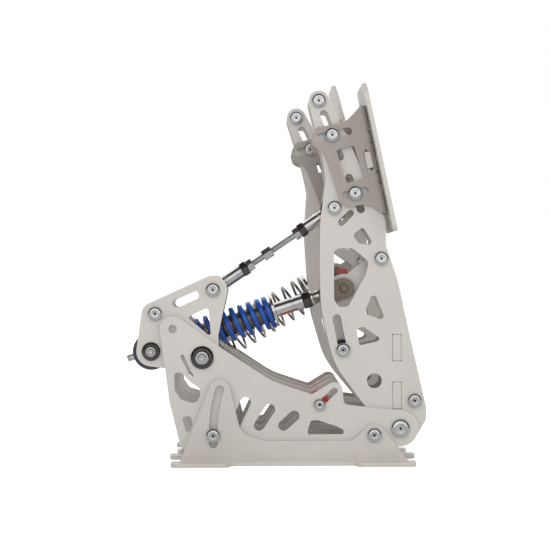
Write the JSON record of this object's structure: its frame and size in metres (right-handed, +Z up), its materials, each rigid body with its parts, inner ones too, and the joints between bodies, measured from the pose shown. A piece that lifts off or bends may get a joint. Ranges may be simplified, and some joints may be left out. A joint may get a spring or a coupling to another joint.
{
  "type": "sim racing pedal set",
  "caption": "Two-pedal set for driving games: tilting plate frames on slotted floor brackets, a rocker-linked spring-strut brake and a coil-spring throttle.",
  "frame": {"origin": "middle of the brake's four floor slots, on the underside of the brackets", "axes": "+X towards the driver, along each pedal; +Y across the set from the brake to the throttle; +Z up"},
  "size_m": [0.2239, 0.1545, 0.2901],
  "materials": {
    "plate": "satin",
    "bracket": "satin",
    "fixing": "satin",
    "chrome": "polished",
    "dark_steel": "satin",
    "slate": "satin",
    "bronze": "satin",
    "blue_spring": "gloss",
    "wire": "polished",
    "red_rubber": "matte",
    "black_rubber": "matte",
    "plug": "matte"
  },
  "bodies": {
    "base": {"brake_base_near": "bracket", "brake_base_far": "bracket", "throttle_base_near": "bracket", "throttle_base_far": "bracket", "brake_tilt_bolts": "fixing", "throttle_tilt_bolts": "fixing"},
    "brake_frame": {"brake_frame_near": "plate", "brake_frame_far": "plate", "brake_lock_bolts": "fixing", "brake_axle": "fixing", "brake_rocker_pins": "fixing", "brake_stop_bolt": "fixing", "brake_stop_rubber": "red_rubber"},
    "brake_arm": {"brake_arm_near": "plate", "brake_arm_far": "plate", "brake_arm_hub": "fixing", "brake_cross_plate": "plate", "brake_arm_bolts": "fixing", "brake_load_cell": "slate", "brake_arm_rubber": "black_rubber", "brake_plug": "plug"},
    "brake_clamp": {"brake_clamp_bolts": "fixing"},
    "brake_foot": {"brake_foot_bracket": "bracket", "brake_foot_plate": "plate"},
    "brake_rocker": {"brake_rocker_near": "plate", "brake_rocker_far": "plate", "brake_rocker_bolts": "fixing"},
    "brake_link": {"brake_front_eye": "dark_steel", "brake_rear_eye": "dark_steel", "brake_turnbuckle": "chrome"},
    "brake_drum": {"brake_drum": "slate", "brake_spring": "blue_spring"},
    "brake_plunger": {"brake_rod": "chrome", "brake_sleeve": "chrome", "brake_tube": "chrome", "brake_strut_nut": "dark_steel", "brake_clevis": "bronze"},
    "throttle_frame": {"throttle_frame_near": "plate", "throttle_frame_far": "plate", "throttle_lock_bolts": "fixing", "throttle_axle": "fixing", "throttle_stop_bolt": "fixing", "throttle_stop_rubber": "red_rubber"},
    "throttle_arm": {"throttle_arm_near": "plate", "throttle_arm_far": "plate", "throttle_arm_hub": "fixing", "throttle_cross_plate": "plate", "throttle_arm_bolts": "fixing", "throttle_lug": "slate"},
    "throttle_clamp": {"throttle_clamp_bolts": "fixing"},
    "throttle_foot": {"throttle_foot_bracket": "bracket", "throttle_foot_plate": "plate"},
    "throttle_trunnion": {"throttle_trunnion": "slate", "throttle_spring": "wire"},
    "throttle_plunger": {"throttle_rod": "chrome", "throttle_clevis": "bronze"}
  },
  "joints": [
    {"name": "brake_tilt", "type": "hinge", "parent": "base", "child": "brake_frame", "pos_m": [0.06, 0.0085, 0.022], "axis": [0, 1, 0], "range_deg": [-2.9, 16.5]},
    {"name": "throttle_tilt", "type": "hinge", "parent": "base", "child": "throttle_frame", "pos_m": [0.06, 0.0885, 0.022], "axis": [0, 1, 0], "range_deg": [-2.9, 16.5]},
    {"name": "brake_pedal", "type": "hinge", "parent": "brake_frame", "child": "brake_arm", "pos_m": [0.0795, 0.0085, 0.0265], "axis": [0, -1, 0], "range_deg": [0, 6], "stiffness_Nm_per_rad": 60, "springref_deg": -8.59},
    {"name": "brake_foot_height", "type": "slide", "parent": "brake_arm", "child": "brake_clamp", "axis": [-0.347, 0, 0.9379], "range_m": [-0.008, 0.012]},
    {"name": "brake_foot_reach", "type": "slide", "parent": "brake_clamp", "child": "brake_foot", "axis": [0.9763, 0, 0.2164], "range_m": [0, 0.007]},
    {"name": "throttle_pedal", "type": "hinge", "parent": "throttle_frame", "child": "throttle_arm", "pos_m": [0.0795, 0.0885, 0.0265], "axis": [0, -1, 0], "range_deg": [0, 12], "stiffness_Nm_per_rad": 16, "springref_deg": -20.05},
    {"name": "throttle_foot_height", "type": "slide", "parent": "throttle_arm", "child": "throttle_clamp", "axis": [-0.4052, 0, 0.9142], "range_m": [-0.008, 0.012]},
    {"name": "throttle_foot_reach", "type": "slide", "parent": "throttle_clamp", "child": "throttle_foot", "axis": [0.9608, 0, 0.2773], "range_m": [0, 0.007]},
    {"name": "brake_rocker", "type": "hinge", "parent": "brake_frame", "child": "brake_rocker", "pos_m": [-0.067, 0.0085, 0.0795], "axis": [0, -1, 0], "range_deg": [0, 23.63]},
    {"name": "brake_link", "type": "hinge", "parent": "brake_arm", "child": "brake_link", "pos_m": [0.0315, 0.0085, 0.19], "axis": [0, -1, 0], "range_deg": [-9.7, 0]},
    {"name": "brake_drum", "type": "hinge", "parent": "brake_rocker", "child": "brake_drum", "pos_m": [-0.105, 0.0085, 0.084], "axis": [0, -1, 0], "range_deg": [-18.16, 0]},
    {"name": "brake_plunger", "type": "slide", "parent": "brake_drum", "child": "brake_plunger", "axis": [0.9521, 0, 0.3059], "range_m": [-0.00697, 0], "deforming": ["brake_spring"]},
    {"name": "throttle_trunnion", "type": "hinge", "parent": "throttle_frame", "child": "throttle_trunnion", "pos_m": [-0.067, 0.0885, 0.0795], "axis": [0, -1, 0], "range_deg": [0, 1.08]},
    {"name": "throttle_plunger", "type": "slide", "parent": "throttle_trunnion", "child": "throttle_plunger", "axis": [0.8658, 0, 0.5003], "range_m": [-0.0254, 0], "deforming": ["throttle_spring"]}
  ],
  "couplings": [
    {"joint": "brake_rocker", "follows": "brake_pedal", "ratio": 3.9},
    {"joint": "brake_link", "follows": "brake_pedal", "ratio": -1.601},
    {"joint": "brake_drum", "follows": "brake_pedal", "ratio": -2.996},
    {"joint": "brake_plunger", "follows": "brake_pedal", "m_per_rad": -0.06589},
    {"joint": "throttle_trunnion", "follows": "throttle_pedal", "ratio": 0.0889},
    {"joint": "throttle_plunger", "follows": "throttle_pedal", "m_per_rad": -0.12007}
  ]
}
